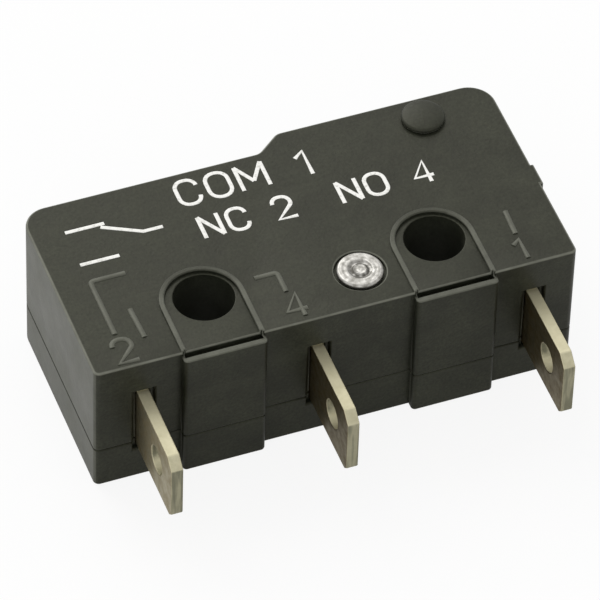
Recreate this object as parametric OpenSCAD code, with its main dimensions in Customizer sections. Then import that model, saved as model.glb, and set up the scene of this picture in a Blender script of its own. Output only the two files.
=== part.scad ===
// Subminiature snap-action switch, lying on its cover with the marked face up.
// X runs along the length, Y towards the plunger, Z through the thickness.
// The origin is midway between the mounting holes, on the cover's outer face.

/* [Housing] */
// Length of the housing from end to end
body_l = 19.8; // [19:0.1:23]
// Thickness of the housing from face to face
body_t = 6.4; // [6.2:0.1:8]
// Thickness of the cover, up to the parting plane
cover_t = 2; // [1.6:0.1:2.4]
// Hole line to the top of the raised part
top_h = 7.3; // [7.2:0.1:9]
// How much lower the left part of the top is
step_h = 0.8; // [0.5:0.1:1.1]
// Hole line to the terminal face
face_h = 2.5; // [2.2:0.1:3.2]
// Where the ramp of the top starts, right of the origin
ramp_x = -0.1; // [-1:0.1:0.3]
// Length of the ramp
ramp_l = 1; // [0.8:0.1:1.2]
// Wall at the ends and along the top
wall = 0.85; // [0.7:0.05:0.95]
// Wall under the marked face
face_wall = 1; // [0.8:0.05:1.1]
// Wall of the cover under its pocket
cover_wall = 1.1; // [0.9:0.05:1.3]
// Corner radius at the left of the top
left_r = 1; // [0.5:0.1:1.6]
// Corner radius at the right of the top
right_r = 1.1; // [0.5:0.1:1.6]
// Corner radius at the terminal face
base_r = 0.25; // [0.1:0.05:0.5]
// Radius where the ramp meets the flats
ramp_r = 0.5; // [0.2:0.05:0.7]
// Height of the gate mark on the right end
gate_h = 0.12; // [0.05:0.01:0.25]
// Width of the gate mark
gate_w = 1.1; // [0.6:0.1:1.6]
// Hole line to the middle of the gate mark
gate_y = 1.9; // [1:0.1:3]

/* [Mounting holes] */
// Distance between the mounting holes
hole_pitch = 9.5; // [9:0.1:9.8]
// Left hole to the left end
hole_inset = 5.3; // [5:0.05:5.5]
// Bore of the mounting holes
hole_d = 2.4; // [2:0.1:2.8]
// Width of the seat round each hole
seat_w = 3.4; // [3:0.1:3.6]
// How far left of its hole each seat lies
seat_shift = 0.1; // [0:0.02:0.16]
// How far below its hole the middle of each seat's arc lies
seat_drop = 0.15; // [0:0.05:0.2]
// Depth of the seat below the marked face
seat_depth = 0.05; // [0.02:0.01:0.1]
// Width of the rim round the seat
rim_w = 0.22; // [0.12:0.02:0.24]
// Height of that rim above the marked face
rim_h = 0.1; // [0.04:0.01:0.12]
// How far the foot under each hole stands out
foot_h = 0.4; // [0.2:0.05:0.6]
// Depth of the foot's upper side below the marked face
foot_drop = 0.15; // [0.12:0.01:0.25]
// Radius of the foot's corners
foot_r = 0.18; // [0.05:0.01:0.19]
// Width of the groove between the seat and the foot
groove_w = 0.18; // [0.16:0.02:0.36]
// How far the groove lies out on the foot
groove_out = 0.12; // [0.04:0.02:0.14]
// What the groove leaves at each of its ends
groove_end = 0.12; // [0.06:0.02:0.2]
// Depth of that groove below the seat
groove_depth = 0.3; // [0.2:0.05:0.5]

/* [Terminals] */
// Sheet thickness of the terminals
term_t = 0.5; // [0.4:0.05:0.6]
// Width of the terminals inside the housing
term_w = 3.2; // [2.8:0.1:3.6]
// Width of the solder blades outside it
blade_w = 3.05; // [2.5:0.05:3.2]
// How far the blades stand out of the terminal face
term_l = 3.8; // [3:0.1:5]
// Normally open blade, left of the origin
term_x = 0.9; // [0.6:0.05:1.1]
// Left end to the normally closed blade
closed_inset = 2; // [1.8:0.05:2.2]
// Right end to the common blade
common_inset = 1.75; // [1.5:0.05:1.9]
// Diameter of the solder eye
eye_d = 1.2; // [1:0.05:1.6]
// Solder eye to the terminal face
eye_y = 2.15; // [1.8:0.05:2.4]
// Upper corner cut off the blade tip, across the blade
tip_w = 0.45; // [0.3:0.05:0.7]
// Upper corner cut off the blade tip, along the blade
tip_l = 0.5; // [0.3:0.05:0.8]
// Lower corner cut off the blade tip, both ways
tip_low = 0.2; // [0.1:0.05:0.5]
// Inner radius of the bends
bend_r = 0.2; // [0.1:0.05:0.3]
// Room round the blades in the mouths of their slots
mouth_room = 0.16; // [0.1:0.02:0.3]
// Depth of those mouths
mouth_depth = 0.2; // [0.15:0.05:0.6]

/* [Contacts] */
// Diameter of the contact buttons
contact_d = 1.6; // [1.3:0.1:1.9]
// Height of a fixed contact button
contact_t = 0.4; // [0.3:0.05:0.45]
// Height of the moving contact, through the blade
moving_t = 0.8; // [0.6:0.05:0.9]
// Opening between the contacts
contact_gap = 0.5; // [0.3:0.05:0.6]
// Diameter of the moving contact's shank in the leaf
shank_d = 0.8; // [0.6:0.05:1]
// Contact centre to the middle of the normally closed blade
contact_reach = 2.15; // [1.8:0.05:2.4]
// How far the arms and the leaf run past the contacts
arm_margin = 0.1; // [0.05:0.05:0.3]

/* [Snap blade] */
// Thickness of the leaf
leaf_t = 0.12; // [0.08:0.01:0.16]
// Width of the leaf
leaf_w = 2.3; // [2:0.05:2.35]
// Width of the tongue
tongue_w = 0.9; // [0.7:0.05:1]
// Gap between the tongue and the strips
tongue_gap = 0.1; // [0.06:0.01:0.14]
// Where the tongue leaves the leaf, left of the origin
tongue_x = 3; // [2.4:0.1:3.6]
// How far the tongue's tip hangs below the leaf
tongue_drop = 0.85; // [0.75:0.05:0.95]
// Length of the hook bar at the common end
hook_l = 0.35; // [0.3:0.05:0.4]
// Depth of the hook notch in the common legs
hook_depth = 0.2; // [0.15:0.05:0.25]
// Width of each common leg
leg_w = 0.4; // [0.3:0.05:0.42]
// Height of the legs above the leaf
leg_over = 0.5; // [0.3:0.05:0.6]
// Common blade to the tongue's seat
seat_reach = 3.7; // [3.6:0.05:3.9]
// Depth of the notch that holds the tongue's tip
seat_notch = 0.12; // [0.06:0.02:0.2]

/* [Plunger] */
// Plunger to the origin
plunger_x = 3.4; // [3.2:0.05:3.45]
// Width of the plunger along the housing
plunger_w = 2; // [1.6:0.1:2.2]
// Width of the plunger through the thickness
plunger_d = 2.3; // [1.8:0.05:2.35]
// Full travel of the plunger
travel = 1; // [0.6:0.1:1.2]
// How far the plunger still stands out when it is pressed in
plunger_left = 0.6; // [0.4:0.1:0.9]
// Height of the shoulder under the roof
shoulder_h = 0.5; // [0.4:0.05:0.6]
// Width of the shoulder beyond the plunger, each side
shoulder_w = 0.45; // [0.3:0.05:0.5]
// Length of the plunger's two prongs along the housing
prong_l = 1; // [0.8:0.1:1.2]
// Radius of the plunger's crown
crown_r = 1.5; // [1.2:0.1:3]

/* [Fastening] */
// Rivet, right of the origin
rivet_x = 1.4; // [1.2:0.05:1.5]
// Rivet, below the hole line
rivet_drop = 0.7; // [0.5:0.05:1]
// Diameter of the rivet's shank
rivet_d = 1; // [0.8:0.05:1.2]
// Diameter of the rivet's heads
rivet_head_d = 1.85; // [1.6:0.05:2]
// Thickness of the rivet's heads
rivet_head_t = 0.25; // [0.2:0.05:0.3]
// Depth of the seat of the rivet's upper head
rivet_sunk = 0.15; // [0.05:0.05:0.2]
// Room round the rivet's heads in their seats
rivet_room = 0.1; // [0.05:0.05:0.2]
// Diameter of the ring pressed into the rivet's upper head
ring_d = 0.75; // [0.5:0.05:0.9]
// Depth of that ring
ring_depth = 0.06; // [0.02:0.01:0.1]
// Stake pin, right of the origin
pin_x = 6.65; // [6.5:0.05:6.9]
// Stake pin, below the top of the raised part
pin_drop = 1.15; // [1.1:0.05:1.4]
// Diameter of the stake pin
pin_d = 1.1; // [0.9:0.05:1.2]
// Diameter of the pin's domed end
pin_head_d = 1.75; // [1.5:0.05:2]
// Height of the pin's domed end
pin_head_t = 0.3; // [0.2:0.05:0.4]
// Height of that end's upright edge
pin_edge_t = 0.22; // [0.05:0.01:0.25]
// Wall round the stake pin
pin_wall = 0.45; // [0.35:0.05:0.5]

/* [Fits] */
// Clearance of a fixed piece in its seat
fit = 0.03; // [0.02:0.005:0.05]
// Clearance of a piece that slides
slide = 0.05; // [0.03:0.01:0.08]
// Gap left between closed contacts
touch = 0.02; // [0.01:0.005:0.04]

/* [Hidden] */
$fn = 48;
// How far a cut runs past the face that it opens
over = 1;
// How far a corner's sliver laps over the sides of the corner
lap = 0.05;

// Housing outline
left_x = -hole_pitch / 2 - hole_inset;
right_x = left_x + body_l;
face_y = -face_h;
foot_y = face_y - foot_h;
low_y = top_h - step_h;
seat_z = body_t - seat_depth;

// Room inside
roof_y = top_h - wall;
low_roof_y = low_y - wall;
room_left = left_x + wall;
room_right = right_x - wall;
room_step = ramp_x + ramp_l + wall / 2;
room_z0 = cover_wall;
room_z1 = body_t - face_wall;

// Contact stack, from the low roof downwards
closed_y1 = low_roof_y - fit;
closed_y0 = closed_y1 - term_t;
moving_y1 = closed_y0 - contact_t - touch;
moving_y0 = moving_y1 - moving_t;
open_y1 = moving_y0 - contact_gap - touch - contact_t;
open_y0 = open_y1 - term_t;
block_y = open_y0 - fit;

// Blades
open_x = -term_x;
closed_x = left_x + closed_inset;
common_x = right_x - common_inset;
contact_x = closed_x + contact_reach;
term_z = body_t / 2;
tip_y = face_y - term_l;
arm_end = contact_d / 2 + arm_margin;

// Leaf
leaf_y = (moving_y0 + moving_y1) / 2;
hook_x0 = common_x + term_t / 2 - hook_depth;
seat_x = common_x - seat_reach;
tongue_y = leaf_y - tongue_drop;

// Plunger
foot_of_plunger = leaf_y + leaf_t / 2 + touch;
shoulder_y1 = roof_y - fit;
shoulder_y0 = shoulder_y1 - shoulder_h;

// Fastening
rivet_y = -rivet_drop;
pin_y = top_h - pin_drop;

function unit(v) = v / norm(v);
function turn(a, b) = a[0] * b[1] - a[1] * b[0];

// The sliver between a sharp corner of an outline and its round
module corner_sliver(corner, before, after, r) {
    u = unit(before - corner);
    w = unit(after - corner);
    half = acos(u * w) / 2;
    middle = corner + unit(u + w) * r / sin(half);
    out = (r + lap) / r;
    rim = [corner + u * r / tan(half), corner, corner + w * r / tan(half)];
    difference() {
        polygon([middle, for (p = rim) middle + (p - middle) * out]);
        translate(middle) circle(r);
    }
}

// A polygon, points anticlockwise, with its own radius at each corner
module rounded_outline(points, radii) {
    n = len(points);
    last = n - 1;
    difference() {
        union() {
            polygon(points);
            for (i = [0 : last]) {
                before = points[(i + last) % n];
                after = points[(i + 1) % n];
                if (radii[i] > 0 && turn(points[i] - before, after - points[i]) < 0)
                    corner_sliver(points[i], before, after, radii[i]);
            }
        }
        for (i = [0 : last]) {
            before = points[(i + last) % n];
            after = points[(i + 1) % n];
            if (radii[i] > 0 && turn(points[i] - before, after - points[i]) > 0)
                corner_sliver(points[i], before, after, radii[i]);
        }
    }
}

module box(from, to) {
    translate(from) cube(to - from);
}

module at_holes() {
    for (side = [-1, 1]) translate([side * hole_pitch / 2, 0, 0]) children();
}

module body_outline() {
    rounded_outline(
        [
            [left_x, face_y], [right_x, face_y], [right_x, top_h],
            [ramp_x + ramp_l, top_h], [ramp_x, low_y], [left_x, low_y]
        ],
        [base_r, base_r, right_r, ramp_r, ramp_r, left_r]
    );
}

// Plan of the room that holds the mechanism, round the stake pin's boss
module room_outline() {
    difference() {
        union() {
            translate([room_left, block_y]) square([room_right - room_left, low_roof_y - block_y]);
            translate([room_step, block_y]) square([room_right - room_step, roof_y - block_y]);
        }
        translate([pin_x, pin_y]) circle(pin_d / 2 + pin_wall);
        translate([pin_x - pin_d / 2 - pin_wall, pin_y]) square([pin_d + 2 * pin_wall, pin_drop]);
    }
}

module feet(z0, z1) {
    half = seat_w / 2;
    at_holes() translate([-seat_shift, 0, z0]) linear_extrude(z1 - z0) rounded_outline(
        [[-half, foot_y], [half, foot_y], [half, face_y + base_r], [-half, face_y + base_r]],
        [foot_r, foot_r, 0, 0]
    );
}

module mounting_bores() {
    at_holes() translate([0, 0, -over]) cylinder(d = hole_d, h = body_t + 2 * over);
}

// Slots of the three blades: wide at the mouth, close along the blade, relieved for the bends
module terminal_slots() {
    for (x = [closed_x, open_x, common_x]) {
        slot_part(x, mouth_room, face_y - over, face_y + mouth_depth);
        slot_part(x, 0, face_y, block_y + over);
        slot_part(x, bend_r, block_y - bend_r, block_y + over);
    }
}

// One length of a slot, wider than the blade's fit by a given room along the housing
module slot_part(x, room, y0, y1) {
    half_x = term_t / 2 + fit + room;
    half_z = term_w / 2 + fit;
    box([x - half_x, y0, term_z - half_z], [x + half_x, y1, term_z + half_z]);
}

// Round-ended plan of a seat, down to a given height
module seat_plan(half, y0) {
    translate([-seat_shift, -seat_drop]) {
        circle(half);
        translate([-half, y0 + seat_drop]) square([2 * half, -y0 - seat_drop]);
    }
}

// Low rim round a seat, before the seat is cut
module seat_rim() {
    translate([0, 0, seat_z]) linear_extrude(seat_depth + rim_h) seat_plan(seat_w / 2, face_y);
}

// Seat round a mounting hole, open to its foot
module hole_seat() {
    translate([0, 0, seat_z]) linear_extrude(over) seat_plan(seat_w / 2 - rim_w, foot_y - over);
    groove_y = face_y - groove_out;
    half = seat_w / 2 - groove_end;
    box(
        [-seat_shift - half, groove_y, seat_z - groove_depth],
        [-seat_shift + half, groove_y + groove_w, seat_z + over]
    );
}

module case() {
    color("#464641") difference() {
        union() {
            translate([0, 0, cover_t]) linear_extrude(body_t - cover_t) body_outline();
            feet(cover_t, body_t - foot_drop);
            at_holes() seat_rim();
            box(
                [right_x - wall, gate_y - gate_w / 2, cover_t],
                [right_x + gate_h, gate_y + gate_w / 2, body_t]
            );
        }
        translate([0, 0, cover_t - over]) linear_extrude(room_z1 - cover_t + over) room_outline();
        terminal_slots();
        box(
            [plunger_x - plunger_w / 2 - slide, roof_y - over, cover_t - over],
            [plunger_x + plunger_w / 2 + slide, top_h + over, term_z + plunger_d / 2 + slide]
        );
        mounting_bores();
        at_holes() hole_seat();
        translate([rivet_x, rivet_y, 0]) {
            cylinder(d = rivet_d + 2 * fit, h = body_t + over);
            translate([0, 0, body_t - rivet_sunk]) cylinder(d = rivet_head_d + 2 * rivet_room, h = over);
        }
        translate([pin_x, pin_y, 0]) cylinder(d = pin_d + 2 * fit, h = body_t + over);
    }
}

// Domed end formed on the stake pin
module pin_dome() {
    crown = pin_head_t - pin_edge_t;
    half = pin_head_d / 2;
    ball = (half * half + crown * crown) / (2 * crown);
    rotate_extrude() intersection() {
        square([half, pin_head_t]);
        translate([0, pin_head_t - ball]) circle(ball, $fn = 96);
    }
}

module cover() {
    color("#3f3f3b") {
        difference() {
            union() {
                linear_extrude(cover_t) body_outline();
                feet(0, cover_t);
            }
            translate([0, 0, room_z0]) linear_extrude(cover_t) room_outline();
            terminal_slots();
            mounting_bores();
            translate([rivet_x, rivet_y, -over]) {
                cylinder(d = rivet_d + 2 * fit, h = cover_t + 2 * over);
                cylinder(d = rivet_head_d + 2 * rivet_room, h = over + rivet_head_t + fit);
            }
        }
        translate([pin_x, pin_y, cover_wall]) cylinder(d = pin_d, h = body_t - cover_wall);
        translate([pin_x, pin_y, body_t]) pin_dome();
    }
}

// Half section of the rivet, with the rings that its forming tool leaves
module rivet_section() {
    rim = rivet_head_t / 2;
    top = body_t - rivet_sunk + rivet_head_t;
    head = rivet_head_d / 2;
    difference() {
        union() {
            translate([0, fit]) square([rivet_d / 2, top - fit]);
            translate([0, fit]) square([head, rivet_head_t]);
            translate([0, top - rivet_head_t]) square([head, rivet_head_t - rim]);
            translate([0, top - rim]) square([head - rim, rim]);
            translate([head - rim, top - rim]) circle(rim);
        }
        translate([ring_d / 2, top + rim - ring_depth]) circle(rim);
    }
}

module rivet() {
    color("#d9d8d2") translate([rivet_x, rivet_y, 0]) rotate_extrude() rivet_section();
}

module plunger() {
    crown_y = top_h + plunger_left + travel;
    color("#35332f") translate([plunger_x, 0, term_z - plunger_d / 2]) difference() {
        linear_extrude(plunger_d) {
            intersection() {
                translate([-plunger_w / 2, shoulder_y0]) square([plunger_w, crown_y - shoulder_y0]);
                union() {
                    translate([0, crown_y - crown_r]) circle(crown_r);
                    translate([-plunger_w / 2, shoulder_y0])
                        square([plunger_w, crown_y - crown_r - shoulder_y0]);
                }
            }
            translate([-plunger_w / 2 - shoulder_w, shoulder_y0])
                square([plunger_w + 2 * shoulder_w, shoulder_h]);
            translate([-prong_l / 2, foot_of_plunger]) square([prong_l, shoulder_y0 - foot_of_plunger]);
        }
        translate([0, 0, plunger_d / 2]) box(
            [-plunger_w, foot_of_plunger - over, -tongue_w / 2 - tongue_gap],
            [plunger_w, shoulder_y0, tongue_w / 2 + tongue_gap]
        );
    }
}

// Solder end of a blade, up to a given height: shouldered above in its slot, tip corners cut, eye drilled
module blade(x, y1) {
    wide = term_w / 2;
    high = blade_w - wide;
    shoulder = face_y + mouth_depth;
    translate([x - term_t / 2, 0, term_z]) difference() {
        rotate([90, 0, 90]) linear_extrude(term_t) polygon([
            [y1, -wide], [y1, wide], [shoulder, wide], [shoulder, high],
            [tip_y + tip_l, high], [tip_y, high - tip_w],
            [tip_y, tip_low - wide], [tip_y + tip_low, -wide]
        ]);
        translate([-over, face_y - eye_y, 0]) rotate([0, 90, 0]) cylinder(d = eye_d, h = term_t + 2 * over);
    }
}

// Sheet bent through a right angle: up from y0 at x, then sideways at height y1 to end_x
module bent_arm(x, y0, y1, end_x) {
    side = sign(end_x - x);
    back = x - side * term_t / 2;
    front = x + side * term_t / 2;
    points = [
        [back, y0], [front, y0], [front, y1 - term_t],
        [end_x, y1 - term_t], [end_x, y1], [back, y1]
    ];
    radii = [0, 0, bend_r, 0, 0, bend_r + term_t];
    order = side > 0 ? [0, 1, 2, 3, 4, 5] : [5, 4, 3, 2, 1, 0];
    rounded_outline([for (i = order) points[i]], [for (i = order) radii[i]]);
}

module across_blade(width) {
    translate([0, 0, term_z - width / 2]) linear_extrude(width) children();
}

module normally_closed_terminal() {
    joint_y = closed_y0 - bend_r;
    color("#b9b08c") {
        blade(closed_x, joint_y);
        across_blade(term_w) bent_arm(closed_x, joint_y, closed_y1, contact_x + arm_end);
    }
}

module normally_open_terminal() {
    joint_y = open_y0 - bend_r;
    color("#b9b08c") {
        blade(open_x, joint_y);
        across_blade(term_w) bent_arm(open_x, joint_y, open_y1, contact_x - arm_end);
    }
}

// Common blade: two hooked legs, and between them a tab bent over to carry the tongue's seat
module common_terminal() {
    joint_y = open_y0 - bend_r;
    leg_top = leaf_y + leg_over;
    tab_w = term_w - 2 * leg_w - 2 * slide;
    notch = leaf_t / 2 + slide;
    color("#b9b08c") {
        difference() {
            blade(common_x, leg_top);
            box(
                [common_x - term_t, joint_y, term_z - tab_w / 2 - slide],
                [common_x + term_t, leg_top + over, term_z + tab_w / 2 + slide]
            );
            box([hook_x0, leaf_y - notch, 0], [common_x + term_t, leaf_y + notch, body_t]);
        }
        across_blade(tab_w) difference() {
            union() {
                bent_arm(common_x, joint_y, open_y1, seat_x);
                translate([seat_x, open_y0]) square([term_t, tongue_y + term_t / 2 - open_y0]);
            }
            translate([seat_x - over, tongue_y - leaf_t]) square([over + seat_notch, 2 * leaf_t]);
        }
    }
}

// Contact button with a domed face, its flat back at the origin, facing +Y
module contact_button(height) {
    rim = height / 2;
    half = contact_d / 2;
    ball = (half * half + rim * rim) / (2 * rim);
    rotate([-90, 0, 0]) rotate_extrude() intersection() {
        square([half, height]);
        translate([0, height - ball]) circle(ball, $fn = 96);
    }
}

module normally_open_contact() {
    color("#d8d6cf") translate([contact_x, open_y1, term_z]) contact_button(contact_t);
}

module normally_closed_contact() {
    color("#d8d6cf") translate([contact_x, closed_y0, term_z]) rotate([180, 0, 0]) contact_button(contact_t);
}

module moving_contact() {
    half_t = (moving_t - leaf_t) / 2;
    color("#d8d6cf") translate([contact_x, leaf_y, term_z]) {
        translate([0, leaf_t / 2, 0]) contact_button(half_t);
        rotate([180, 0, 0]) translate([0, leaf_t / 2, 0]) contact_button(half_t);
        rotate([90, 0, 0]) translate([0, 0, -leaf_t / 2]) cylinder(d = shank_d, h = leaf_t);
    }
}

// Plan of the leaf, x along the blade and y through the thickness
module leaf_plan() {
    window_w = tongue_w + 2 * tongue_gap;
    neck_x = (seat_x + common_x) / 2;
    free_x = contact_x - arm_end;
    difference() {
        union() {
            translate([free_x, -leaf_w / 2]) square([hook_x0 - free_x, leaf_w]);
            translate([hook_x0 + slide, -term_w / 2]) square([hook_l, term_w]);
            translate([hook_x0 - slide, -leaf_w / 2]) square([2 * slide, leaf_w]);
        }
        translate([-tongue_x, -window_w / 2]) square([neck_x + tongue_x, window_w]);
        translate([contact_x, 0]) circle(d = shank_d + 2 * fit);
    }
}

// Tongue: leaves the leaf level and curves down to the seat
module tongue_profile() {
    tip_x = seat_x + seat_notch - fit;
    run = tip_x + tongue_x;
    bow = (run * run + tongue_drop * tongue_drop) / (2 * tongue_drop);
    intersection() {
        translate([-tongue_x, leaf_y - bow]) difference() {
            circle(bow + leaf_t / 2, $fn = 360);
            circle(bow - leaf_t / 2, $fn = 360);
        }
        translate([-tongue_x - leaf_t, tongue_y - leaf_t]) square([run + leaf_t, tongue_drop + 2 * leaf_t]);
    }
}

module snap_blade() {
    color("#c9a566") {
        translate([0, leaf_y + leaf_t / 2, term_z]) rotate([90, 0, 0]) linear_extrude(leaf_t) leaf_plan();
        across_blade(tongue_w) tongue_profile();
    }
}

case();
cover();
rivet();
plunger();
common_terminal();
normally_open_terminal();
normally_closed_terminal();
normally_open_contact();
normally_closed_contact();
moving_contact();
snap_blade();
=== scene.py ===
import math

import bmesh
import bpy
from mathutils import Matrix, Vector


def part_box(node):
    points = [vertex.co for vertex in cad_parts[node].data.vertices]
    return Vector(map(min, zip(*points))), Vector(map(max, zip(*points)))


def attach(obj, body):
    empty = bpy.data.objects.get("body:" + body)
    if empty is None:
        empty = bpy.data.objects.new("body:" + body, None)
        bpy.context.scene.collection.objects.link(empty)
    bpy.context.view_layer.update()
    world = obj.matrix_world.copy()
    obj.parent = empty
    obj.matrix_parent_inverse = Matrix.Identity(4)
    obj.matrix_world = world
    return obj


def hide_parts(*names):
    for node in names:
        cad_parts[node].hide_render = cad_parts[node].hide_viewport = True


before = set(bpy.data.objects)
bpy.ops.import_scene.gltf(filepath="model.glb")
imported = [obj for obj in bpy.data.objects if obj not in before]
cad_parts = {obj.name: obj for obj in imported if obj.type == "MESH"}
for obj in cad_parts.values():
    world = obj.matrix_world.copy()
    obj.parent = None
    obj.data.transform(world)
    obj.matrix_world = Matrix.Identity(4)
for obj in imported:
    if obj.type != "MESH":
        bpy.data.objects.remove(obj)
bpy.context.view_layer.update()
scene = bpy.context.scene
mm = 0.001
print("frame loaded:", len(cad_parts), "nodes")


# colours are written as sRGB hex and reach the shaders as linear values
def hexColor(code):
    parts = [int(code[i:i + 2], 16) / 255 for i in (1, 3, 5)]
    linear = [c / 12.92 if c <= 0.04045 else ((c + 0.055) / 1.055) ** 2.4 for c in parts]
    return (*linear, 1.0)


# a texture's Scale input for features of a given size in millimetres
def scaleFor(sizeMm):
    return 1 / (sizeMm * mm)


# one node with its settings; an input that is given a socket is linked to it
def addNode(tree, kind, settings={}, inputs={}):
    node = tree.nodes.new(kind)
    for name, value in settings.items():
        setattr(node, name, value)
    for name, value in inputs.items():
        if isinstance(value, bpy.types.NodeSocket):
            tree.links.new(value, node.inputs[name])
        else:
            node.inputs[name].default_value = value
    return node


def newMaterial(name):
    material = bpy.data.materials.new(name)
    material.use_nodes = True
    tree = material.node_tree
    return material, tree, tree.nodes["Principled BSDF"]


# glass-filled PBT, injection moulded in a spark-eroded tool: a dull charcoal black whose fine
# grain breaks up the light, a little cloudy, with grey rub marks that run along the housing and
# paler edges, partly polished by handling and partly painted highlight
def mouldedPbt(name, look):
    material, tree, shader = newMaterial(name)
    place = addNode(tree, "ShaderNodeTexCoord").outputs["Object"]
    edge = addNode(tree, "ShaderNodeAttribute", {"attribute_name": "edgeWearAndHighlight"}).outputs["Fac"]
    along = addNode(tree, "ShaderNodeMapping", {}, {"Vector": place, "Scale": look["rubStretch"]})
    cloud = addNode(tree, "ShaderNodeTexNoise", {}, {
        "Vector": place, "Scale": scaleFor(look["cloudMm"]), "Detail": 5, "Roughness": 0.68})
    grain = addNode(tree, "ShaderNodeTexNoise", {}, {
        "Vector": place, "Scale": scaleFor(look["grainMm"]), "Detail": 2, "Roughness": 0.6})
    rub = addNode(tree, "ShaderNodeTexNoise", {}, {
        "Vector": along.outputs["Vector"], "Scale": scaleFor(look["rubMm"]),
        "Detail": 4, "Roughness": 0.65})
    rubbed = addNode(tree, "ShaderNodeMapRange", {}, {
        "Value": rub.outputs["Fac"], "From Min": 0.56, "From Max": 0.74, "To Max": look["rubAmount"]})
    mottle = addNode(tree, "ShaderNodeMapRange", {}, {
        "Value": cloud.outputs["Fac"], "From Min": 0.3, "From Max": 0.7})
    tone = addNode(tree, "ShaderNodeMix", {"data_type": "RGBA"}, {
        0: mottle.outputs[0], 6: hexColor(look["dark"]), 7: hexColor(look["pale"])})
    speck = addNode(tree, "ShaderNodeMix", {"data_type": "RGBA", "blend_type": "OVERLAY"}, {
        0: look["grainTone"], 6: tone.outputs[2], 7: grain.outputs["Fac"]})
    grey = addNode(tree, "ShaderNodeMix", {"data_type": "RGBA"}, {
        0: rubbed.outputs[0], 6: speck.outputs[2], 7: hexColor(look["rubbed"])})
    spots = addNode(tree, "ShaderNodeTexNoise", {}, {
        "Vector": place, "Scale": scaleFor(look["wearAndHighlightMm"]), "Detail": 3, "Roughness": 0.6})
    patchy = addNode(tree, "ShaderNodeMapRange", {}, {
        "Value": spots.outputs["Fac"], "From Min": 0.3, "From Max": 0.66,
        "To Min": look["wearAndHighlightLeast"], "To Max": look["wearAndHighlightMost"]})
    # paler edges in patches: handling wear and painted highlight
    wearAndHighlight = addNode(tree, "ShaderNodeMath", {"operation": "MULTIPLY"}, {0: edge, 1: patchy.outputs[0]})
    edged = addNode(tree, "ShaderNodeMix", {"data_type": "RGBA"}, {
        0: wearAndHighlight.outputs[0], 6: grey.outputs[2], 7: hexColor(look["wearAndHighlight"])})
    rough = addNode(tree, "ShaderNodeMapRange", {}, {
        "Value": cloud.outputs["Fac"], "From Min": 0.3, "From Max": 0.7,
        "To Min": look["roughLow"], "To Max": look["roughHigh"]})
    wave = addNode(tree, "ShaderNodeBump", {}, {
        "Height": cloud.outputs["Fac"], "Strength": 0.4, "Distance": look["sinkMm"] * mm})
    bump = addNode(tree, "ShaderNodeBump", {}, {
        "Height": grain.outputs["Fac"], "Strength": 0.5, "Distance": look["grainDeepMm"] * mm,
        "Normal": wave.outputs["Normal"]})
    tree.links.new(edged.outputs[2], shader.inputs["Base Color"])
    tree.links.new(rough.outputs[0], shader.inputs["Roughness"])
    tree.links.new(bump.outputs["Normal"], shader.inputs["Normal"])
    shader.inputs["IOR"].default_value = look["ior"]
    shader.inputs["Specular IOR Level"].default_value = look["gloss"]
    shader.inputs["Specular Tint"].default_value = hexColor(look["sheen"])
    return material


# the tool's real grain is about 0.03 mm; it is drawn at 0.12 mm so that it still shows
pbtLook = {
    # the paler edge tone stands for handling wear and painted highlight
    "dark": "#13150e", "pale": "#2b2d24", "rubbed": "#494a3d", "wearAndHighlight": "#84857a", "wearAndHighlightMm": 0.7,
    "cloudMm": 2.6, "grainMm": 0.12, "rubMm": 1.1, "rubStretch": (0.22, 1, 1), "rubAmount": 0.16,
    "sinkMm": 0.03, "grainDeepMm": 0.012, "roughLow": 0.36, "roughHigh": 0.48,
    "grainTone": 0.85, "wearAndHighlightLeast": 0.52, "wearAndHighlightMost": 0.76, "gloss": 0.22, "sheen": "#fffde6",
    "ior": 1.55,
}
casePlastic = mouldedPbt("mouldedBlackPbt", pbtLook)
coverPlastic = mouldedPbt("mouldedBlackPbtCover", {**pbtLook, "dark": "#12140e", "pale": "#292b22"})


# black acetal, moulded in a polished tool: smooth and slightly waxy, for sliding
def mouldedAcetal():
    look = {"dark": "#1d1b19", "pale": "#2b2926", "cloudMm": 0.8, "wearMm": 0.2, "wearDeepMm": 0.01,
            "roughLow": 0.26, "roughHigh": 0.46, "ior": 1.48}
    material, tree, shader = newMaterial("polishedBlackAcetal")
    place = addNode(tree, "ShaderNodeTexCoord").outputs["Object"]
    cloud = addNode(tree, "ShaderNodeTexNoise", {}, {"Vector": place, "Scale": scaleFor(look["cloudMm"])})
    wear = addNode(tree, "ShaderNodeTexNoise", {}, {
        "Vector": place, "Scale": scaleFor(look["wearMm"]), "Detail": 4})
    tone = addNode(tree, "ShaderNodeMix", {"data_type": "RGBA"}, {
        0: cloud.outputs["Fac"], 6: hexColor(look["dark"]), 7: hexColor(look["pale"])})
    rough = addNode(tree, "ShaderNodeMapRange", {}, {
        "Value": wear.outputs["Fac"], "To Min": look["roughLow"], "To Max": look["roughHigh"]})
    bump = addNode(tree, "ShaderNodeBump", {}, {
        "Height": wear.outputs["Fac"], "Strength": 0.15, "Distance": look["wearDeepMm"] * mm})
    tree.links.new(tone.outputs[2], shader.inputs["Base Color"])
    tree.links.new(rough.outputs[0], shader.inputs["Roughness"])
    tree.links.new(bump.outputs["Normal"], shader.inputs["Normal"])
    shader.inputs["IOR"].default_value = look["ior"]
    return material
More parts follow.
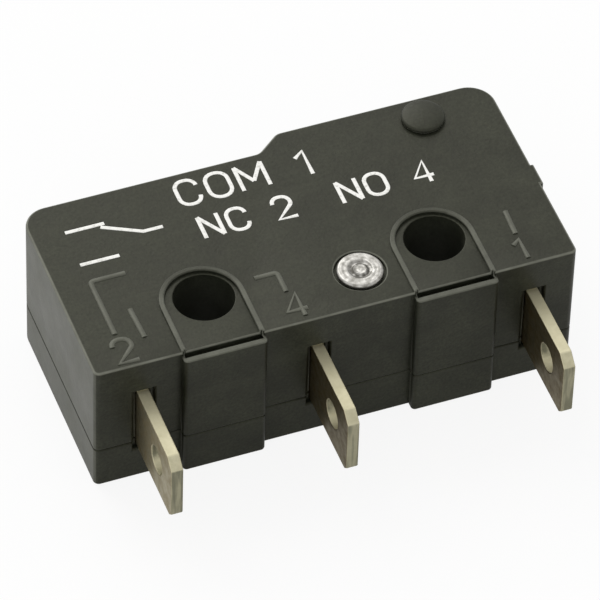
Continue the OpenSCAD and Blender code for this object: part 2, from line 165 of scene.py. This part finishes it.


# rolled strip: the rolls leave fine lines along the strip, handling leaves dull patches, kept mostly to the
# flat faces so that the flats are darker and the edges brighter as painted reflection, and the shears leave
# rougher cut edges, with darker streaks across the thickness on the ends
def rolledStrip(name, look):
    material, tree, shader = newMaterial(name)
    place = addNode(tree, "ShaderNodeTexCoord").outputs["Object"]
    along = addNode(tree, "ShaderNodeMapping", {}, {"Vector": place, "Scale": look["lineStretch"]})
    lines = addNode(tree, "ShaderNodeTexNoise", {}, {
        "Vector": along.outputs["Vector"], "Scale": scaleFor(look["lineMm"]), "Detail": 3})
    patch = addNode(tree, "ShaderNodeTexNoise", {}, {
        "Vector": place, "Scale": scaleFor(look["patchMm"]), "Detail": 4, "Roughness": 0.6})
    dull = addNode(tree, "ShaderNodeMapRange", {}, {
        "Value": patch.outputs["Fac"], "From Min": 0.3, "From Max": 0.66, "To Min": look["dullLeast"]})
    shape = addNode(tree, "ShaderNodeTexCoord").outputs["Normal"]
    facing = addNode(tree, "ShaderNodeSeparateXYZ", {}, {"Vector": shape})
    side = addNode(tree, "ShaderNodeMath", {"operation": "ABSOLUTE"}, {0: facing.outputs[look["flatAxis"]]})
    # the flats take the dull tone and the edges stay bright: painted reflection, with worn plating in
    # patches
    onFlat = addNode(tree, "ShaderNodeMapRange", {}, {
        "Value": side.outputs[0], "From Min": 0.5, "From Max": 0.9, "To Min": 0.1})
    dullAndPaintedReflection = addNode(tree, "ShaderNodeMath", {"operation": "MULTIPLY"}, {
        0: dull.outputs[0], 1: onFlat.outputs[0]})
    tone = addNode(tree, "ShaderNodeMix", {"data_type": "RGBA"}, {
        0: dullAndPaintedReflection.outputs[0], 6: hexColor(look["bright"]), 7: hexColor(look["dull"])})
    cutEnd = addNode(tree, "ShaderNodeMapRange", {}, {
        "Value": facing.outputs["Y"], "From Min": -0.6, "From Max": -0.9, "To Max": look["shearAmount"]})
    across = addNode(tree, "ShaderNodeMapping", {}, {"Vector": place, "Scale": (1, 1, 0.1)})
    streak = addNode(tree, "ShaderNodeTexNoise", {}, {
        "Vector": across.outputs["Vector"], "Scale": scaleFor(look["shearMm"]), "Detail": 2})
    torn = addNode(tree, "ShaderNodeMapRange", {}, {
        "Value": streak.outputs["Fac"], "From Min": 0.4, "From Max": 0.6, "To Min": 0.55})
    sheared = addNode(tree, "ShaderNodeMath", {"operation": "MULTIPLY"}, {
        0: cutEnd.outputs[0], 1: torn.outputs[0]})
    ends = addNode(tree, "ShaderNodeMix", {"data_type": "RGBA"}, {
        0: sheared.outputs[0], 6: tone.outputs[2], 7: hexColor(look["sheared"])})
    rough = addNode(tree, "ShaderNodeMapRange", {}, {
        "Value": patch.outputs["Fac"], "From Min": 0.3, "From Max": 0.7,
        "To Min": look["roughLow"], "To Max": look["roughHigh"]})
    onCut = addNode(tree, "ShaderNodeMapRange", {}, {
        "Value": side.outputs[0], "From Min": 0.9, "From Max": 0.5, "To Max": look["cutRough"]})
    rougher = addNode(tree, "ShaderNodeMath", {"operation": "ADD"}, {
        0: rough.outputs[0], 1: onCut.outputs[0]})
    bump = addNode(tree, "ShaderNodeBump", {}, {
        "Height": lines.outputs["Fac"], "Strength": 0.3, "Distance": look["lineDeepMm"] * mm})
    tree.links.new(ends.outputs[2], shader.inputs["Base Color"])
    tree.links.new(rougher.outputs[0], shader.inputs["Roughness"])
    tree.links.new(bump.outputs["Normal"], shader.inputs["Normal"])
    shader.inputs["Metallic"].default_value = 1.0
    return material


# thin tin over brass: a warm grey metal with brassy patches where the plating has worn; the
# normally closed blade's copy is paler, as painted light where that blade catches more light
platedLook = {
    "bright": "#cbc6ab", "dull": "#65583a", "dullLeast": 0.8, "flatAxis": "X", "cutRough": 0.22,
    "sheared": "#777664", "shearMm": 0.16, "shearAmount": 0.9,
    "lineMm": 0.12, "lineStretch": (1, 0.08, 1), "patchMm": 0.4, "roughLow": 0.38, "roughHigh": 0.54,
    "lineDeepMm": 0.006,
}
platedBrass = rolledStrip("tinPlatedBrass", platedLook)
# a paler copy for the normally closed blade: painted light
platedBrassPaintedLighter = rolledStrip("tinPlatedBrassPaintedLighter", {**platedLook, "dull": "#8a7f63", "dullLeast": 0.6})
# beryllium copper, rolled hard: a warm yellow metal with a fine lengthwise line
springCopper = rolledStrip("rolledBerylliumCopper", {
    "bright": "#d3a868", "dull": "#b98a4d", "dullLeast": 0, "flatAxis": "Y", "cutRough": 0.1,
    "sheared": "#9a713b", "shearMm": 0.1, "shearAmount": 0.4,
    "lineMm": 0.1, "lineStretch": (0.08, 1, 1), "patchMm": 1.2, "roughLow": 0.22, "roughHigh": 0.34,
    "lineDeepMm": 0.004})
# silver alloy, pressed to a dome: pale and softly bright, a little tarnished
contactSilver = rolledStrip("pressedSilverAlloy", {
    "bright": "#dedcd4", "dull": "#bdb9ac", "dullLeast": 0, "flatAxis": "Y", "cutRough": 0,
    "sheared": "#bdb9ac", "shearMm": 0.2, "shearAmount": 0,
    "lineMm": 0.2, "lineStretch": (1, 1, 1), "patchMm": 0.5, "roughLow": 0.25, "roughHigh": 0.42,
    "lineDeepMm": 0.004})


# aluminium, cold headed by a ringed tool: bright on its rim, with faint rings round its middle
# and painted shade, in patches, in the pressed ring
def headedAluminium(centre):
    look = {"bright": "#b4b2ad", "dull": "#83817b", "paintedRingShade": "#45433e", "ringMm": 0.16, "patchMm": 0.25,
            "paintedShadeInMm": 0.16, "paintedShadeMostMm": 0.34, "paintedShadeOutMm": 0.52, "ringDeepMm": 0.012,
            "roughLow": 0.32, "roughHigh": 0.5}
    material, tree, shader = newMaterial("coldHeadedAluminium")
    place = addNode(tree, "ShaderNodeTexCoord").outputs["Object"]
    middle = addNode(tree, "ShaderNodeMapping", {"vector_type": "POINT"}, {
        "Vector": place, "Location": (-centre.x, -centre.y, 0), "Scale": (1, 1, 0)})
    outward = addNode(tree, "ShaderNodeVectorMath", {"operation": "LENGTH"}, {0: middle.outputs["Vector"]})
    inner = addNode(tree, "ShaderNodeMapRange", {}, {
        "Value": outward.outputs["Value"],
        "From Min": look["paintedShadeInMm"] * mm, "From Max": look["paintedShadeMostMm"] * mm})
    outer = addNode(tree, "ShaderNodeMapRange", {}, {
        "Value": outward.outputs["Value"],
        "From Min": look["paintedShadeOutMm"] * mm, "From Max": look["paintedShadeMostMm"] * mm})
    ring = addNode(tree, "ShaderNodeMath", {"operation": "MULTIPLY"}, {
        0: inner.outputs[0], 1: outer.outputs[0]})
    wavePeriod = 0.314  # of the Wave texture at a scale of 1
    rings = addNode(tree, "ShaderNodeTexWave", {"wave_type": "RINGS", "rings_direction": "Z"}, {
        "Vector": middle.outputs["Vector"], "Scale": wavePeriod * scaleFor(look["ringMm"]),
        "Distortion": 0.4, "Detail": 1, "Detail Scale": 3})
    patch = addNode(tree, "ShaderNodeTexNoise", {}, {
        "Vector": place, "Scale": scaleFor(look["patchMm"]), "Detail": 4})
    dull = addNode(tree, "ShaderNodeMapRange", {}, {
        "Value": patch.outputs["Fac"], "From Min": 0.35, "From Max": 0.65})
    tone = addNode(tree, "ShaderNodeMix", {"data_type": "RGBA"}, {
        0: dull.outputs[0], 6: hexColor(look["bright"]), 7: hexColor(look["dull"])})
    shadeBreakup = addNode(tree, "ShaderNodeMapRange", {}, {
        "Value": patch.outputs["Fac"], "From Min": 0.36, "From Max": 0.56, "To Min": 0.25})
    # painted shade in the pressed ring, broken up in patches
    paintedShadeMask = addNode(tree, "ShaderNodeMath", {"operation": "MULTIPLY"}, {
        0: ring.outputs[0], 1: shadeBreakup.outputs[0]})
    withPaintedShade = addNode(tree, "ShaderNodeMix", {"data_type": "RGBA"}, {
        0: paintedShadeMask.outputs[0], 6: tone.outputs[2], 7: hexColor(look["paintedRingShade"])})
    rough = addNode(tree, "ShaderNodeMapRange", {}, {
        "Value": patch.outputs["Fac"], "From Min": 0.3, "From Max": 0.7,
        "To Min": look["roughLow"], "To Max": look["roughHigh"]})
    bump = addNode(tree, "ShaderNodeBump", {}, {
        "Height": rings.outputs["Fac"], "Strength": 0.3, "Distance": look["ringDeepMm"] * mm})
    tree.links.new(withPaintedShade.outputs[2], shader.inputs["Base Color"])
    tree.links.new(rough.outputs[0], shader.inputs["Roughness"])
    tree.links.new(bump.outputs["Normal"], shader.inputs["Normal"])
    shader.inputs["Metallic"].default_value = 1.0
    return material


# pad-printed epoxy ink: a dead white film, thin in specks where the plastic's grain comes through
def padInk():
    look = {"full": "#f7f6f1", "thin": "#cfcec6", "speckMm": 0.12, "rough": 0.62}
    material, tree, shader = newMaterial("padPrintedWhiteInk")
    place = addNode(tree, "ShaderNodeTexCoord").outputs["Object"]
    speck = addNode(tree, "ShaderNodeTexNoise", {}, {
        "Vector": place, "Scale": scaleFor(look["speckMm"]), "Detail": 3})
    thin = addNode(tree, "ShaderNodeMapRange", {}, {
        "Value": speck.outputs["Fac"], "From Min": 0.52, "From Max": 0.74})
    tone = addNode(tree, "ShaderNodeMix", {"data_type": "RGBA"}, {
        0: thin.outputs[0], 6: hexColor(look["full"]), 7: hexColor(look["thin"])})
    tree.links.new(tone.outputs[2], shader.inputs["Base Color"])
    shader.inputs["Roughness"].default_value = look["rough"]
    return material


acetal = mouldedAcetal()
rivetLow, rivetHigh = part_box("rivet")
rivetAluminium = headedAluminium((rivetLow + rivetHigh) / 2)
whiteInk = padInk()
print("materials made")


# the evaluated object as a plain mesh piece, with no modifier left
def bakedPiece(source, name, unit):
    graph = bpy.context.evaluated_depsgraph_get()
    mesh = bpy.data.meshes.new_from_object(source.evaluated_get(graph), depsgraph=graph)
    mesh.transform(Matrix.Scale(unit, 4))
    mesh.name = name
    source.modifiers.clear()
    bpy.data.objects.remove(source)
    piece = bpy.data.objects.new(name, mesh)
    scene.collection.objects.link(piece)
    return piece


# sharp edges that run on smoothly into each other share a number
def chainNumbers(sharp):
    straightOn = -0.7  # cosine between the two ways out of a corner: a turn of up to 45 degrees
    numberOf = {}
    for first in sharp:
        if first in numberOf:
            continue
        numberOf[first] = number = len(numberOf)
        chain = [first]
        for edge in chain:
            for corner in edge.verts:
                course = (edge.other_vert(corner).co - corner.co).normalized()
                for other in corner.link_edges:
                    onward = (other.other_vert(corner).co - corner.co).normalized()
                    if other in sharp and other not in numberOf and course.dot(onward) < straightOn:
                        numberOf[other] = number
                        chain.append(other)
    return numberOf


# how far a sharp edge may be rounded before it meets another one on the same face; a step at its
# end that is shorter than stepMm doesn't count
def roomBeside(edge, numberOf, lengthOf, stepMm):
    middle = (edge.verts[0].co + edge.verts[1].co) / 2
    course = (edge.verts[1].co - edge.verts[0].co).normalized()
    room = math.inf
    lengthwise = 0.7  # cosine beyond which another edge lies ahead and not beside
    for other in (e for face in edge.link_faces for e in face.edges if e in numberOf and e != edge):
        start, end = (v.co for v in other.verts)
        span = end - start
        share = min(1, max(0, (middle - start).dot(span) / span.length_squared))
        gap = start + span * share - middle
        if numberOf[other] != numberOf[edge] and set(other.verts) & set(edge.verts):
            if lengthOf[numberOf[other]] > stepMm:
                room = min(room, lengthOf[numberOf[other]])
        elif abs(gap.normalized().dot(course)) < lengthwise:
            room = min(room, gap.length)
    return room


# a copy of a node with its outer edges rounded; the work is done in millimetres
def roundedCopy(nodeName, pieceName, edges):
    work = bmesh.new()
    work.from_mesh(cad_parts[nodeName].data)
    bmesh.ops.scale(work, vec=Vector((1, 1, 1)) / mm, verts=work.verts)
    bmesh.ops.remove_doubles(work, verts=work.verts, dist=edges["mergeMm"])
    bmesh.ops.dissolve_limit(
        work, angle_limit=math.radians(edges["flatDeg"]), verts=work.verts, edges=work.edges)
    weight = work.edges.layers.float.new("bevel_weight_edge")
    sharpAngle = math.radians(edges["sharpDeg"])
    sharp = [e for e in work.edges if e.is_manifold and e.calc_face_angle() > sharpAngle]
    numberOf = chainNumbers(sharp)
    lengthOf, widthOf = {}, {}
    for edge in sharp:
        lengthOf[numberOf[edge]] = lengthOf.get(numberOf[edge], 0) + edge.calc_length()
    for edge in sharp:
        room = edges["share"] * roomBeside(edge, numberOf, lengthOf, edges["stepMm"])
        if all(abs(v.co.z - edges["partingMm"]) < edges["levelMm"] for v in edge.verts):
            room = min(room, edges["partingEdgeMm"])
        widthOf[numberOf[edge]] = min(widthOf.get(numberOf[edge], edges["widthMm"]), room)
    for edge in sharp:
        if edge.is_convex:
            edge[weight] = widthOf[numberOf[edge]] / edges["widthMm"]
        else:
            edge.smooth = False
    mesh = bpy.data.meshes.new(pieceName)
    work.to_mesh(mesh)
    work.free()
    mesh.shade_smooth()
    source = bpy.data.objects.new(pieceName + "Source", mesh)
    scene.collection.objects.link(source)
    bevel = source.modifiers.new("rounded edges", "BEVEL")
    bevel.limit_method = "WEIGHT"
    bevel.width = edges["widthMm"]
    bevel.segments = edges["segments"]
    bevel.use_clamp_overlap = False
    bevel.loop_slide = False  # an even width where a seam of a flat face runs into the edge
    bevel.material = 1  # marks the rounding, which is painted paler as worn edge and painted highlight
    flat = source.modifiers.new("flat faces stay flat", "WEIGHTED_NORMAL")
    flat.weight = 100  # the largest faces alone decide
    flat.keep_sharp = True
    mesh.materials.append(None)
    mesh.materials.append(None)
    piece = bakedPiece(source, pieceName, mm)
    # the paler edge tone, partly wear and partly painted highlight: 1 on the rounding, 0 on flat faces and
    # the parting line, then set by the zones
    wear = piece.data.attributes.new("edgeWearAndHighlight", "FLOAT", "POINT")
    onFlat = {v for face in piece.data.polygons if face.material_index == 0 for v in face.vertices}
    for point in piece.data.vertices:
        parting = abs(point.co.z / mm - edges["partingMm"]) < edges["widthMm"] / 2
        wear.data[point.index].value = 0 if parting or point.index in onFlat else 1
        for low, high, amount in edges["wearAndHighlightZones"]:
            if all(a <= c / mm <= b for a, c, b in zip(low, point.co, high)):
                wear.data[point.index].value = amount
    for face in piece.data.polygons:
        face.material_index = 0
    return piece


# a zone of paler edge tone is its lowest corner, its highest corner and how pale it is, and a later one
# counts;
# the front between its corners, below the marked face, gets none; the left end face is paler in patches,
# partly scuffs and partly painted light, but not in its parting line, and the walls of the holes are
# painted lighter, as painted light down the holes
edgeSizes = {
    "mergeMm": 0.0005, "flatDeg": 0.5, "sharpDeg": 30, "widthMm": 0.1, "share": 0.45, "segments": 3,
    "stepMm": 0.25, "partingMm": 2, "partingEdgeMm": 0.08, "levelMm": 0.01,
    "wearAndHighlightZones": [
        ((-9.6, -2.7, 0.2), (9.5, -2.3, 6), 0),
        ((-10.1, -2.6, 0.08), (-9.98, 6.6, 6.32), 0.36),
        ((-10.1, -2.6, 1.93), (-9.9, 6.6, 2.07), 0),
        ((-6, -1.25, 0.15), (-3.5, 1.25, 6.28), 0.45),
        ((3.5, -1.25, 0.15), (6, 1.25, 6.28), 0.45),
    ]}
stampedEdges = {**edgeSizes, "widthMm": 0.05, "segments": 2}
# the rims round the seats and the lips of the feet are paler over their whole width, as painted highlight
# with some rub, less so towards the back of the rims' arcs, and not on the edges of the holes, which lie
# deeper
caseEdges = {**edgeSizes, "wearAndHighlightZones": edgeSizes["wearAndHighlightZones"] + [
    ((-9, -2.6, 6.46), (9, 3, 6.6), 0.55),
    ((-9, 0.5, 6.46), (9, 3, 6.6), 0.32),
    ((-9, 1, 6.46), (9, 3, 6.6), 0.18),
    ((-9, -3, 6.21), (9, -2.61, 6.3), 0.55),
    ((-6.1, -1.4, 6.28), (-3.4, 1.4, 6.37), 0),
    ((3.4, -1.4, 6.28), (6.1, 1.4, 6.37), 0)]}
# the edge of the pin's domed end, pressed to shape, is hardly paler: little wear and little painted
# highlight
coverEdges = {**edgeSizes, "wearAndHighlightZones": edgeSizes["wearAndHighlightZones"] + [
    ((5.7, 5.2, 6.45), (7.6, 7.1, 6.75), 0.04)]}
# node: piece, edges, material, body
roundedPieces = {
    "case": ("caseMoulding", caseEdges, casePlastic, "housing"),
    "cover": ("coverMoulding", coverEdges, coverPlastic, "housing"),
    "plunger": ("plungerButton", edgeSizes, acetal, "plunger"),
    "common_terminal": ("commonBlade", stampedEdges, platedBrass, "housing"),
    "normally_open_terminal": ("openBlade", stampedEdges, platedBrass, "housing"),
    "normally_closed_terminal": ("closedBlade", stampedEdges, platedBrassPaintedLighter, "housing"),
    "rivet": ("headedRivet", {**edgeSizes, "widthMm": 0.03}, rivetAluminium, "housing"),
}
for nodeName, (pieceName, edges, material, body) in roundedPieces.items():
    piece = roundedCopy(nodeName, pieceName, edges)
    piece.data.materials.clear()
    piece.data.materials.append(material)
    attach(piece, body)
    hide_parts(nodeName)
print("rounded pieces made:", len(roundedPieces))

# the pieces of the mechanism keep their own meshes
mechanism = {
    "snap_blade": springCopper, "moving_contact": contactSilver,
    "normally_open_contact": contactSilver, "normally_closed_contact": contactSilver,
}
for nodeName, material in mechanism.items():
    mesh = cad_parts[nodeName].data
    mesh.materials.clear()
    mesh.materials.append(material)
print("mechanism finished:", len(mechanism))


# strokes of the plain figures and letters: x, y and corner radius in heights of a capital
glyphs = {
    "1": [[(0.05, 0.76, 0), (0.36, 1, 0), (0.36, 0, 0)]],
    "2": [[(0, 0.72, 0), (0, 1, 0.26), (0.62, 1, 0.28), (0.62, 0.6, 0.2), (0, 0, 0), (0.66, 0, 0)]],
    "4": [[(0.5, 0, 0), (0.5, 1, 0), (0, 0.3, 0), (0.68, 0.3, 0)]],
    "C": [[(0.66, 0.72, 0), (0.66, 1, 0.28), (0, 1, 0.3), (0, 0, 0.3), (0.66, 0, 0.28), (0.66, 0.28, 0)]],
    "M": [[(0, 0, 0), (0, 1, 0)], [(0, 1, 0), (0.42, 0.3, 0)], [(0.42, 0.3, 0), (0.84, 1, 0)],
          [(0.84, 1, 0), (0.84, 0, 0)]],
    "N": [[(0, 0, 0), (0, 1, 0)], [(0, 1, 0), (0.66, 0, 0)], [(0.66, 0, 0), (0.66, 1, 0)]],
    "O": [[(0.34, 1, 0), (0.7, 1, 0.32), (0.7, 0, 0.32), (0, 0, 0.32), (0, 1, 0.32), (0.35, 1, 0)]],
    " ": [],
}


# strokes of a word in millimetres, from its lower left corner
def wordStrokes(word, left, base, height, gap):
    strokes = []
    for letter in word:
        shape = glyphs[letter]
        for stroke in shape:
            strokes.append([(left + x * height, base + y * height, r * height) for x, y, r in stroke])
        widest = max((x for stroke in shape for x, y, r in stroke), default=0.4)
        left += (widest + gap) * height
    return strokes


# a tree that sweeps a low rounded bead along every stroke and sets it down on a face
def beadTree():
    tree = bpy.data.node_groups.new("strokeBead", "GeometryNodeTree")
    for name, kind in (
        ("Strokes", "NodeSocketGeometry"), ("Line width", "NodeSocketFloat"),
        ("Line height", "NodeSocketFloat"), ("Face level", "NodeSocketFloat"), ("Rub and highlight", "NodeSocketFloat"),
        ("Finish", "NodeSocketMaterial"),
    ):
        tree.interface.new_socket(name, in_out="INPUT", socket_type=kind)
    tree.interface.new_socket("Bead", in_out="OUTPUT", socket_type="NodeSocketGeometry")
    given = addNode(tree, "NodeGroupInput").outputs
    corner = addNode(tree, "GeometryNodeInputRadius")
    rounded = addNode(tree, "GeometryNodeFilletCurve", {"mode": "POLY"}, {
        "Curve": given["Strokes"], "Radius": corner.outputs[0], "Count": 5, "Limit Radius": True})
    plain = addNode(tree, "GeometryNodeSetCurveRadius", {}, {"Curve": rounded.outputs[0], "Radius": 1})
    half = addNode(tree, "ShaderNodeMath", {"operation": "MULTIPLY"}, {0: given["Line width"], 1: 0.5})
    section = addNode(tree, "GeometryNodeCurvePrimitiveCircle", {}, {
        "Resolution": 12, "Radius": half.outputs[0]})
    bead = addNode(tree, "GeometryNodeCurveToMesh", {}, {
        "Curve": plain.outputs[0], "Profile Curve": section.outputs[0], "Fill Caps": True})
    flat = addNode(tree, "ShaderNodeMath", {"operation": "DIVIDE"}, {
        0: given["Line height"], 1: half.outputs[0]})
    squeeze = addNode(tree, "ShaderNodeCombineXYZ", {}, {"X": 1, "Y": 1, "Z": flat.outputs[0]})
    lift = addNode(tree, "ShaderNodeCombineXYZ", {}, {"Z": given["Face level"]})
    laid = addNode(tree, "GeometryNodeTransform", {}, {
        "Geometry": bead.outputs[0], "Translation": lift.outputs[0], "Scale": squeeze.outputs[0]})
    # stores the paler tone, for wear and painted highlight
    rubbed = addNode(tree, "GeometryNodeStoreNamedAttribute", {"data_type": "FLOAT"}, {
        "Geometry": laid.outputs[0], "Name": "edgeWearAndHighlight", "Value": given["Rub and highlight"]})
    smooth = addNode(tree, "GeometryNodeSetShadeSmooth", {}, {"Geometry": rubbed.outputs[0]})
    real = addNode(tree, "GeometryNodeRealizeInstances", {}, {"Geometry": smooth.outputs[0]})
    finished = addNode(tree, "GeometryNodeSetMaterial", {}, {
        "Geometry": real.outputs[0], "Material": given["Finish"]})
    addNode(tree, "NodeGroupOutput", {}, {0: finished.outputs[0]})
    return tree


# every stroke of a mark: its words, then its lines
def markStrokes(mark):
    strokes = []
    for word, left, base, height in mark["words"]:
        strokes += wordStrokes(word, left, base, height, mark["gap"])
    return strokes + mark["lines"]


# a piece made of strokes in millimetres, on the marked face
def strokePiece(name, strokes, tree, values):
    curve = bpy.data.curves.new(name + "Lines", "CURVE")
    curve.dimensions = "3D"
    for stroke in strokes:
        spline = curve.splines.new("POLY")
        spline.points.add(len(stroke) - 1)
        for point, (x, y, radius) in zip(spline.points, stroke):
            point.co = (x * mm, y * mm, 0, 1)
            point.radius = radius * mm
    source = bpy.data.objects.new(name + "Source", curve)
    scene.collection.objects.link(source)
    modifier = source.modifiers.new("bead", "NODES")
    modifier.node_group = tree
    for socket in tree.interface.items_tree:
        if socket.in_out == "INPUT" and socket.name in values:
            modifier[socket.identifier] = values[socket.name]
    return bakedPiece(source, name, 1)


# the marked face is the largest level of the case that looks up
def markedLevel():
    upright = 0.99
    areaAt = {}
    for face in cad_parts["case"].data.polygons:
        if face.normal.z > upright:
            level = round(face.center.z / mm, 3)
            areaAt[level] = areaAt.get(level, 0) + face.area
    return max(areaAt, key=areaAt.get) * mm


beads = beadTree()
markedFace = markedLevel()
print("marked face at %.3f mm" % (markedFace / mm))

# moulded contact diagram: the terminals' numbers, and a line from each one; a word has its lower
# left corner and its height, and a line its points with their corner radii
# the beads' rub value makes them paler all over: some wear on their crests and painted highlight
relief = {
    "lineMm": 0.22, "highMm": 0.05, "rub": 0.6, "gap": 0,
    "words": [("2", -8.95, -2.25, 1.2), ("4", -2.0, -2.2, 1.2), ("1", 7.43, -2.2, 1.02)],
    "lines": [
        [(-8.63, -0.75, 0), (-8.63, 2.15, 0.15), (-7.2, 2.15, 0)],
        [(-1.67, -0.8, 0), (-1.67, 0.25, 0.15), (-2.6, 0.25, 0)],
        [(-7.6, -1.25, 0), (-7.66, 0.3, 0)],
        [(7.8, -0.85, 0), (7.86, 0.4, 0)],
    ],
}
reliefPiece = strokePiece("mouldedDiagram", markStrokes(relief), beads, {
    "Line width": relief["lineMm"] * mm, "Line height": relief["highMm"] * mm,
    "Face level": markedFace, "Rub and highlight": relief["rub"], "Finish": casePlastic})

# white legend: which terminal is which, and a plain changeover sign
legend = {
    "lineMm": 0.17, "highMm": 0.012, "gap": 0.3,
    "words": [("COM 1", -3.9, 4.75, 1.3), ("NC 2  NO 4", -3.6, 2.85, 1.15)],
    "lines": [
        [(-8.7, 4.9, 0), (-7.1, 4.9, 0)],
        [(-8.7, 3.1, 0), (-7.1, 3.1, 0)],
        [(-5.0, 4.0, 0), (-5.8, 4.0, 0), (-7.3, 4.75, 0)],
    ],
}
legendPiece = strokePiece("printedLegend", markStrokes(legend), beads, {
    "Line width": legend["lineMm"] * mm, "Line height": legend["highMm"] * mm,
    "Face level": markedFace, "Finish": whiteInk})
for piece in (reliefPiece, legendPiece):
    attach(piece, "housing")
print("relief and legend made")


# 1 for the camera and for what glass shows, inGloss for what gloss shows, 0 for the light that
# falls on things
def seenDirectly(tree, inGloss):
    path = addNode(tree, "ShaderNodeLightPath").outputs
    gloss = addNode(tree, "ShaderNodeMath", {"operation": "MULTIPLY"}, {
        0: path["Is Glossy Ray"], 1: inGloss})
    seen = addNode(tree, "ShaderNodeMath", {"operation": "MAXIMUM"}, {
        0: path["Is Camera Ray"], 1: gloss.outputs[0]})
    through = addNode(tree, "ShaderNodeMath", {"operation": "MAXIMUM"}, {
        0: seen.outputs[0], 1: path["Is Transmission Ray"]})
    return through.outputs[0]


# white table top under the switch: mostly plain white to the eye, so that its shadow stays faint
def paleFloor():
    top = {"halfM": 1.5, "dropMm": 0.002, "tone": "#f7f7f6", "paler": "#fafaf9", "cloudMm": 40,
           "rough": 0.9, "plainWhite": 0.88, "inGloss": 0.35}
    material, tree, shader = newMaterial("whiteLaminate")
    place = addNode(tree, "ShaderNodeTexCoord").outputs["Object"]
    cloud = addNode(tree, "ShaderNodeTexNoise", {}, {"Vector": place, "Scale": scaleFor(top["cloudMm"])})
    tone = addNode(tree, "ShaderNodeMix", {"data_type": "RGBA"}, {
        0: cloud.outputs["Fac"], 6: hexColor(top["tone"]), 7: hexColor(top["paler"])})
    tree.links.new(tone.outputs[2], shader.inputs["Base Color"])
    shader.inputs["Roughness"].default_value = top["rough"]
    white = addNode(tree, "ShaderNodeEmission", {}, {"Color": hexColor("#ffffff"), "Strength": 1})
    share = addNode(tree, "ShaderNodeMath", {"operation": "MULTIPLY"}, {
        0: seenDirectly(tree, top["inGloss"]), 1: top["plainWhite"]})
    surface = addNode(tree, "ShaderNodeMixShader", {}, {
        0: share.outputs[0], 1: shader.outputs[0], 2: white.outputs[0]})
    tree.links.new(surface.outputs[0], tree.nodes["Material Output"].inputs["Surface"])
    mesh = bpy.data.meshes.new("tableTop")
    half, level = top["halfM"], -top["dropMm"] * mm
    corners = [(-half, -half, level), (half, -half, level), (half, half, level), (-half, half, level)]
    mesh.from_pydata(corners, [], [(0, 1, 2, 3)])
    mesh.materials.append(material)
    floor = bpy.data.objects.new("tableTop", mesh)
    scene.collection.objects.link(floor)


# a direction from the switch, from its compass angle and its height
def fromAngles(azimuthDeg, elevationDeg):
    azimuth, elevation = math.radians(azimuthDeg), math.radians(elevationDeg)
    return Vector((
        math.sin(azimuth) * math.cos(elevation), -math.cos(azimuth) * math.cos(elevation),
        math.sin(elevation)))


# soft lamps: the main one is high behind the switch, and a weak one fills the front
def softLamps():
    lamps = {
        "mainLamp": {"azimuth": -170, "elevation": 42, "awayM": 0.6, "sizeM": 0.5, "watts": 1.9},
        "fillLamp": {"azimuth": -35, "elevation": 35, "awayM": 0.7, "sizeM": 0.5, "watts": 0.5},
    }
    for name, lamp in lamps.items():
        light = bpy.data.lights.new(name, "AREA")
        light.shape = "DISK"
        light.size = lamp["sizeM"]
        light.energy = lamp["watts"]
        holder = bpy.data.objects.new(name, light)
        outward = fromAngles(lamp["azimuth"], lamp["elevation"])
        holder.location = outward * lamp["awayM"]
        holder.rotation_euler = outward.to_track_quat("Z", "Y").to_euler()
        scene.collection.objects.link(holder)


# a white room: plain white to the camera and in reflections, weaker as a light
def whiteRoom():
    room = {"seen": 1.0, "light": 0.64}
    world = bpy.data.worlds.new("whiteRoom")
    world.use_nodes = True
    scene.world = world
    tree = world.node_tree
    strength = addNode(tree, "ShaderNodeMapRange", {}, {
        "Value": seenDirectly(tree, 1), "To Min": room["light"], "To Max": room["seen"]})
    tree.links.new(strength.outputs[0], tree.nodes["Background"].inputs["Strength"])
    tree.nodes["Background"].inputs["Color"].default_value = hexColor("#ffffff")


# the photograph's viewpoint, worked out from the corners and the mounting holes
def photoCamera():
    view = {"azimuth": -21.89, "elevation": 47.25, "roll": 2.01, "awayMm": 242.71,
            "aimMm": (-0.226, 1.353, 3.2), "lensMm": 372.54, "sensorMm": 36, "nearM": 0.01}
    back = fromAngles(view["azimuth"], view["elevation"])
    level = Vector((0, 0, 1)).cross(back).normalized()
    roll = math.radians(view["roll"])
    right = level * math.cos(roll) + back.cross(level) * math.sin(roll)
    up = back.cross(right)
    spot = Vector(view["aimMm"]) * mm + back * view["awayMm"] * mm
    camera = bpy.data.cameras.new("photoCamera")
    camera.lens = view["lensMm"]
    camera.sensor_width = view["sensorMm"]
    camera.clip_start = view["nearM"]
    holder = bpy.data.objects.new("photoCamera", camera)
    turned = Matrix((right, up, back)).transposed().to_4x4()
    holder.matrix_world = Matrix.Translation(spot) @ turned
    scene.collection.objects.link(holder)
    scene.camera = holder


paleFloor()
softLamps()
whiteRoom()
photoCamera()
scene.view_settings.view_transform = "Standard"
print("stage, lamps and camera set")
